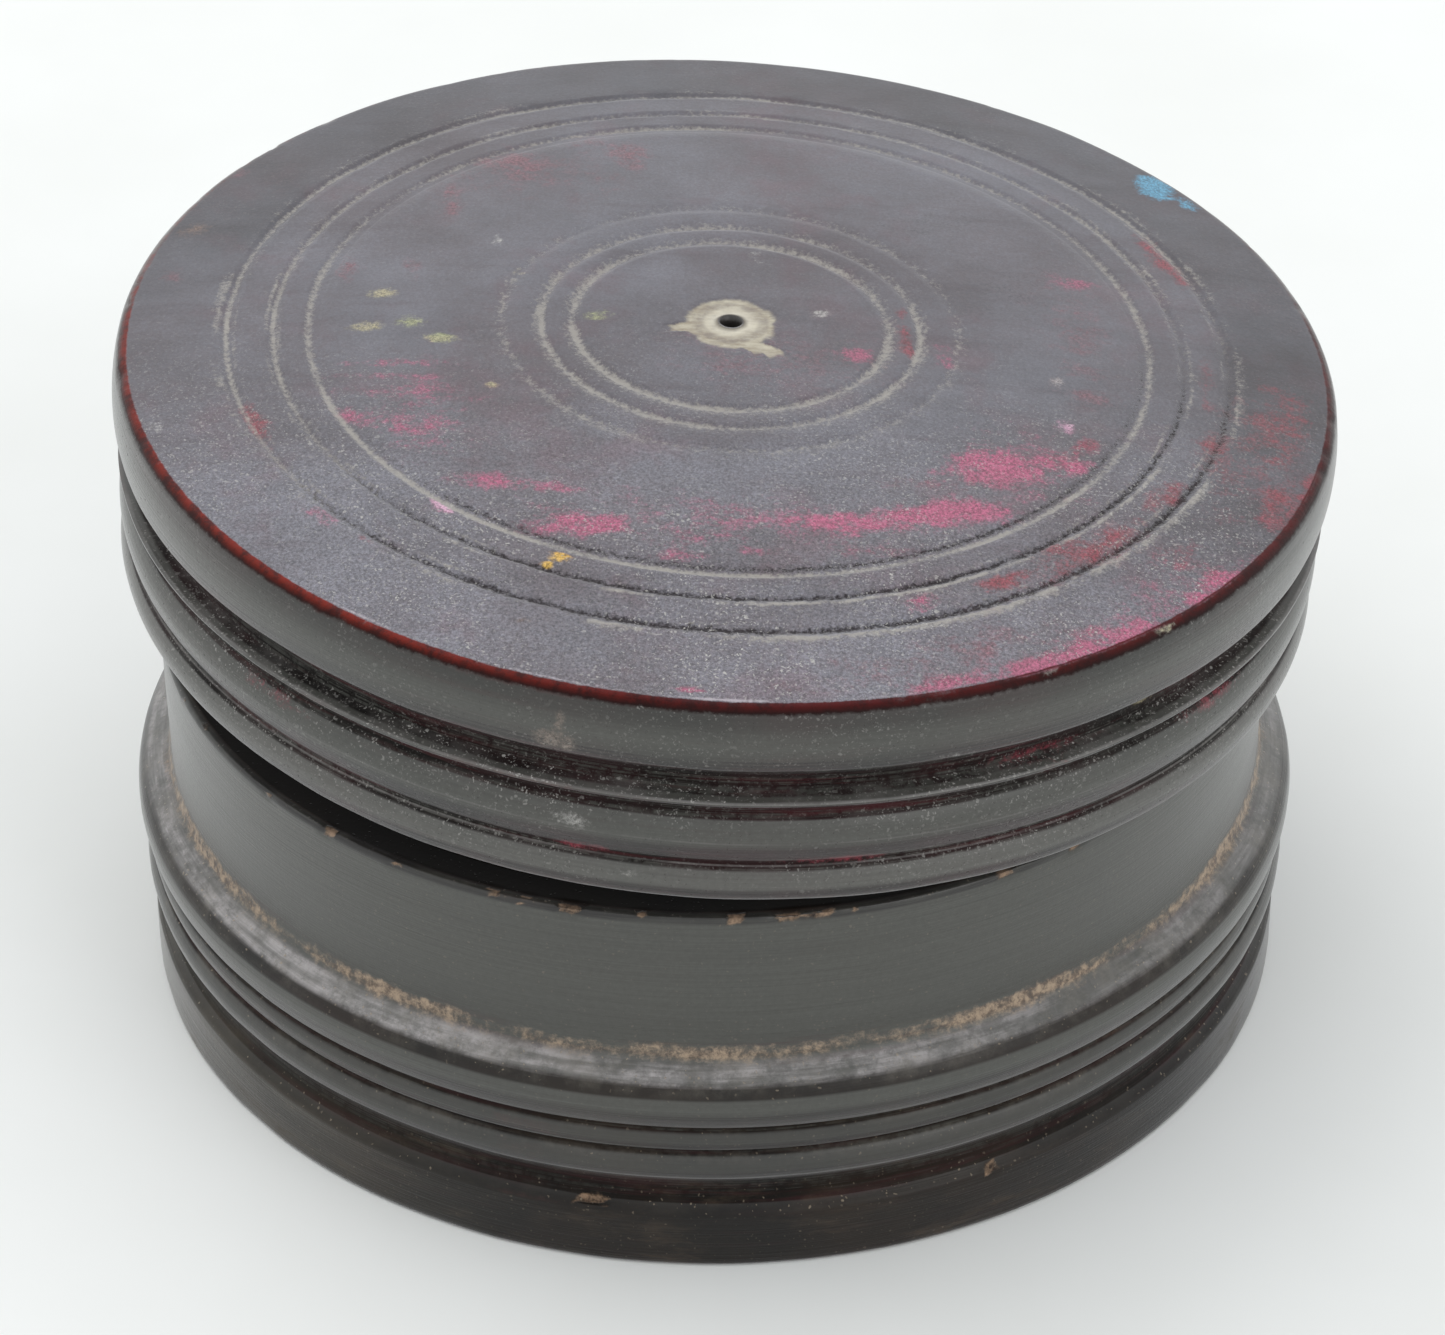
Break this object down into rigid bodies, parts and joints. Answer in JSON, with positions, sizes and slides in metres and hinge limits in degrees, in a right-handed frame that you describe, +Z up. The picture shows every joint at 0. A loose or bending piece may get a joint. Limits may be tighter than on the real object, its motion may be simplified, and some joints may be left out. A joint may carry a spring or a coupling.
{
  "type": "round wooden ink pad box",
  "caption": "Round turned-wood ink pad: a lacquered base with a moulded foot and a cloth-covered felt pad, and a domed lift-off lid lying slightly cocked on it.",
  "frame": {"origin": "centre of the base's resting face, on the base's turning axis", "axes": "+Z up along the base's turning axis, +X to the right and +Y to the back as the object is usually seen; the lid leans to +X"},
  "size_m": [0.0904, 0.0906, 0.0532],
  "materials": {
    "base_lacquer": "dark maroon lacquer, satin, worn and dusty on the ledge and foot",
    "lid_lacquer": "dark maroon lacquer, dulled and dusty on top, glossy on the side, red where it is worn",
    "board_wood": "bare, stained with ink",
    "felt": "matted wool felt, stained with ink",
    "inked_cloth": "plain-woven cotton soaked with dark violet ink",
    "thread": "twisted linen thread"
  },
  "bodies": {
    "base": {"base": "base_lacquer", "pad_board": "board_wood", "felt_lower": "felt", "felt_upper": "felt", "pad_cloth": "inked_cloth", "pad_binding": "thread"},
    "lid": {"lid": "lid_lacquer"}
  },
  "joints": [
    {"name": "lid_lift", "type": "slide", "parent": "base", "child": "lid", "axis": [0, 0, 1], "range_m": [0, 0.035]}
  ]
}
